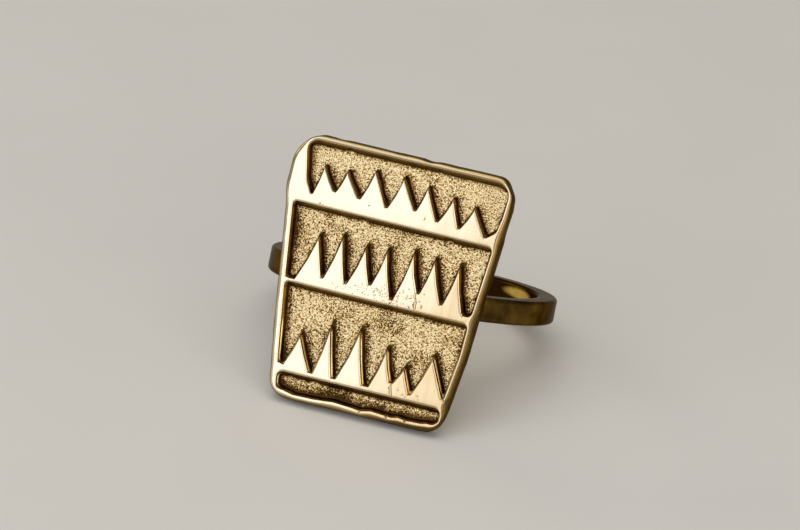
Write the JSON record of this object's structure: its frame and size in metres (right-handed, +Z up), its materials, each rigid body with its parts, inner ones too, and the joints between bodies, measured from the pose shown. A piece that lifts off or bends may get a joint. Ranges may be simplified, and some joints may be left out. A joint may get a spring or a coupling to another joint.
{
  "type": "brass finger ring",
  "caption": "Brass finger ring: an upright framed trapezoid plate with rows of raised triangular teeth on a stippled ground, soldered to a plain narrow shank.",
  "frame": {"origin": "on the floor under the middle of the resting ring's box, with the ring standing on the plate's short lower edge and the back of its shank", "axes": "+Z up; the plate's ornamented face looks to -Y and leans back about 21 degrees; +X to the right as seen by someone who looks at the face; the shank reaches back to +Y"},
  "size_m": [0.021, 0.024, 0.0179],
  "materials": {
    "brass": "polished on the raised faces, dark patina in the recesses, matte stippled ground"
  },
  "bodies": {
    "root": {"ring": "brass"}
  },
  "joints": []
}
